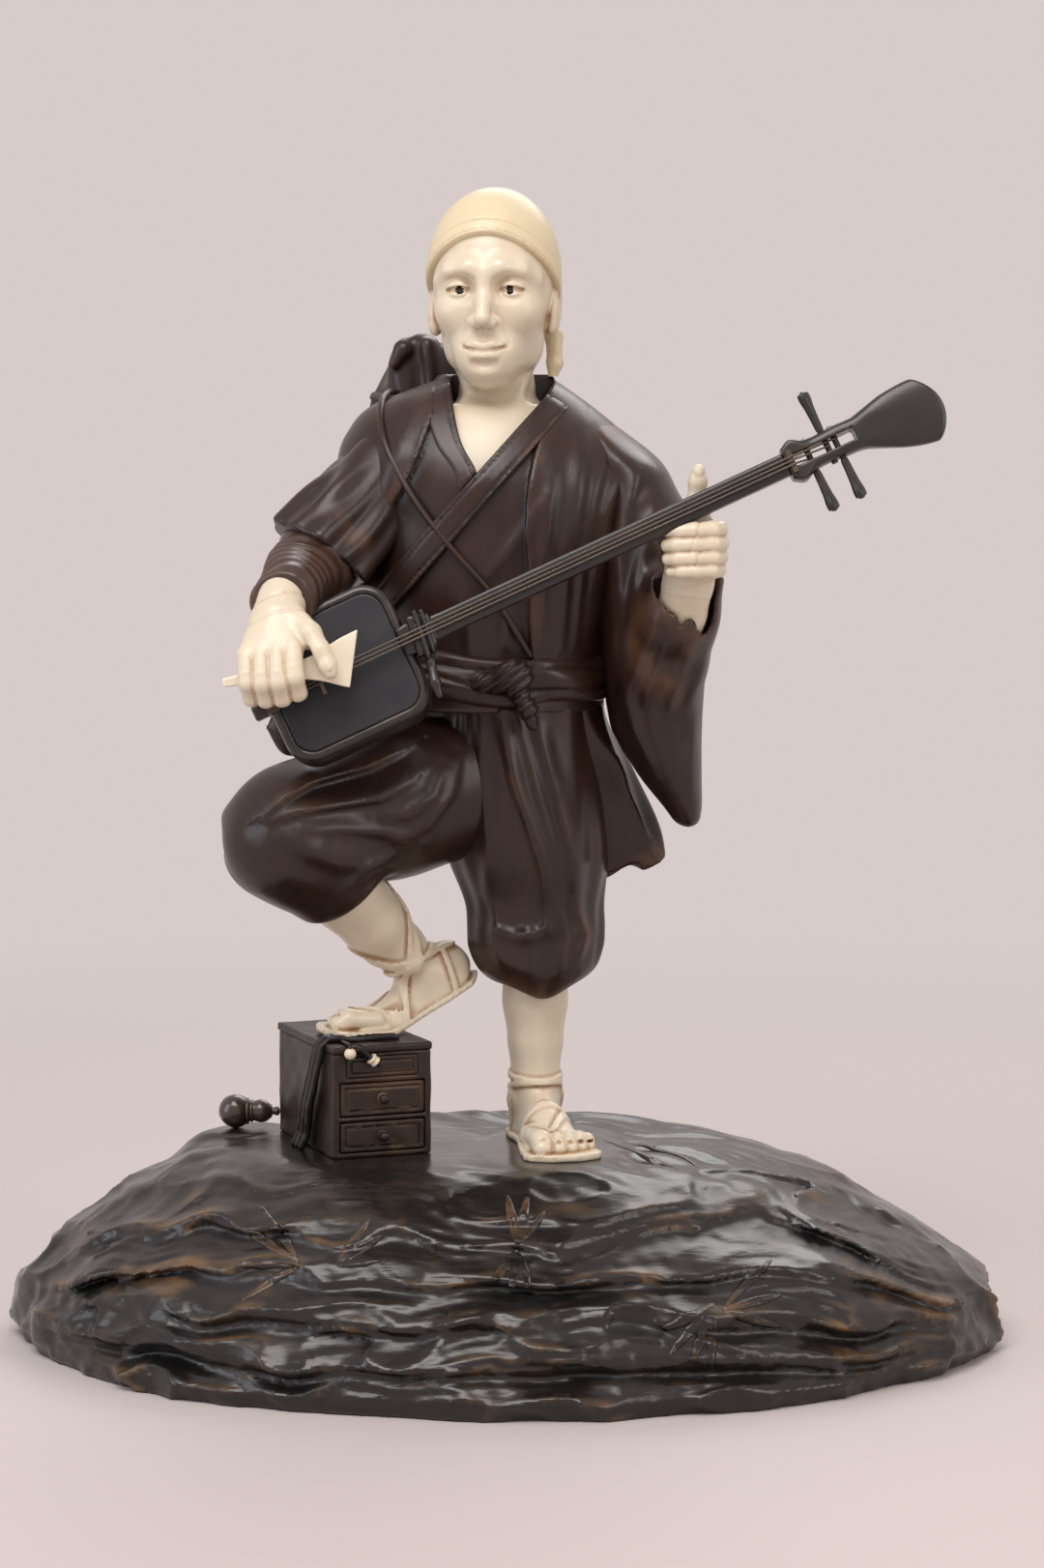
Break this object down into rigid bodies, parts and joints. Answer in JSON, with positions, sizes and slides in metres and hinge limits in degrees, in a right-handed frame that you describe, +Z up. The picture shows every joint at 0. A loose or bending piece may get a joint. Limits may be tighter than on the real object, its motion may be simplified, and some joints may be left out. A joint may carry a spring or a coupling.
{
  "type": "okimono figure",
  "caption": "Carved standing street musician playing a long-necked lute, one foot raised on a small chest of drawers, on a broad root-wood base; a free-standing ornament.",
  "frame": {"origin": "middle of the base's flat underside", "axes": "+Z up, -Y the way the figure faces, +X to the viewer's right"},
  "size_m": [0.3074, 0.2296, 0.3558],
  "materials": {
    "root_wood": "satin",
    "dark_wood": "satin",
    "brown_wood": "satin",
    "bone": "satin",
    "cream_bone": "satin",
    "chest_wood": "satin",
    "black_wood": "satin",
    "gourd_wood": "gloss",
    "ebony": "gloss",
    "drum_plate": "gloss",
    "horn": "gloss",
    "dowel_wood": "matte"
  },
  "bodies": {
    "figure": {"bundle": "dark_wood", "chest_carcass": "chest_wood", "chest_cord": "dark_wood", "chest_dowels": "dowel_wood", "chest_front_panel": "chest_wood", "chest_top": "chest_wood", "coat_flap": "dark_wood", "coat_tail": "dark_wood", "cord_bead": "bone", "drum_back_skin": "drum_plate", "drum_body": "ebony", "drum_front_skin": "drum_plate", "gourd": "gourd_wood", "gourd_stopper": "gourd_wood", "head": "bone", "head_cloth": "cream_bone", "left_collar": "dark_wood", "left_foot_dowel": "dowel_wood", "left_hand": "bone", "left_knee_dowel": "dowel_wood", "left_leg": "bone", "left_sleeve": "dark_wood", "left_trouser": "dark_wood", "lute_bridge": "horn", "lute_head": "ebony", "lute_neck": "ebony", "lute_nut": "horn", "lute_pin": "dowel_wood", "pipe": "black_wood", "pipe_ring": "bone", "plectrum": "horn", "pouch_cord": "black_wood", "right_collar": "dark_wood", "right_cuff": "brown_wood", "right_foot_dowel": "dowel_wood", "right_hand": "bone", "right_knee_dowel": "dowel_wood", "right_leg": "bone", "right_sleeve": "dark_wood", "right_trouser": "dark_wood", "robe_body": "dark_wood", "rock_base": "root_wood", "sash": "dark_wood", "sash_knot": "dark_wood", "strap": "black_wood", "strings": "horn", "tail_cord": "horn", "waist_dowel": "dowel_wood", "wrist_dowel": "dowel_wood"},
    "lower_drawer": {"lower_drawer": "chest_wood", "lower_drawer_pull": "chest_wood"},
    "middle_drawer": {"middle_drawer": "chest_wood", "middle_drawer_pull": "chest_wood"},
    "first_peg": {"first_peg": "ebony"},
    "second_peg": {"second_peg": "ebony"},
    "third_peg": {"third_peg": "ebony"}
  },
  "joints": [
    {"name": "lower_drawer_slide", "type": "slide", "parent": "figure", "child": "lower_drawer", "axis": [0.3665, -0.9304, 0], "range_m": [0, 0.03]},
    {"name": "middle_drawer_slide", "type": "slide", "parent": "figure", "child": "middle_drawer", "axis": [0.3665, -0.9304, 0], "range_m": [0, 0.03]},
    {"name": "first_peg_turn", "type": "hinge", "parent": "figure", "child": "first_peg", "pos_m": [0.08942, -0.04364, 0.27392], "axis": [-0.4218, 0.173, 0.89], "continuous": true},
    {"name": "second_peg_turn", "type": "hinge", "parent": "figure", "child": "second_peg", "pos_m": [0.09495, -0.04327, 0.27647], "axis": [-0.4218, 0.173, 0.89], "continuous": true},
    {"name": "third_peg_turn", "type": "hinge", "parent": "figure", "child": "third_peg", "pos_m": [0.09749, -0.0431, 0.27764], "axis": [-0.4218, 0.173, 0.89], "continuous": true}
  ]
}
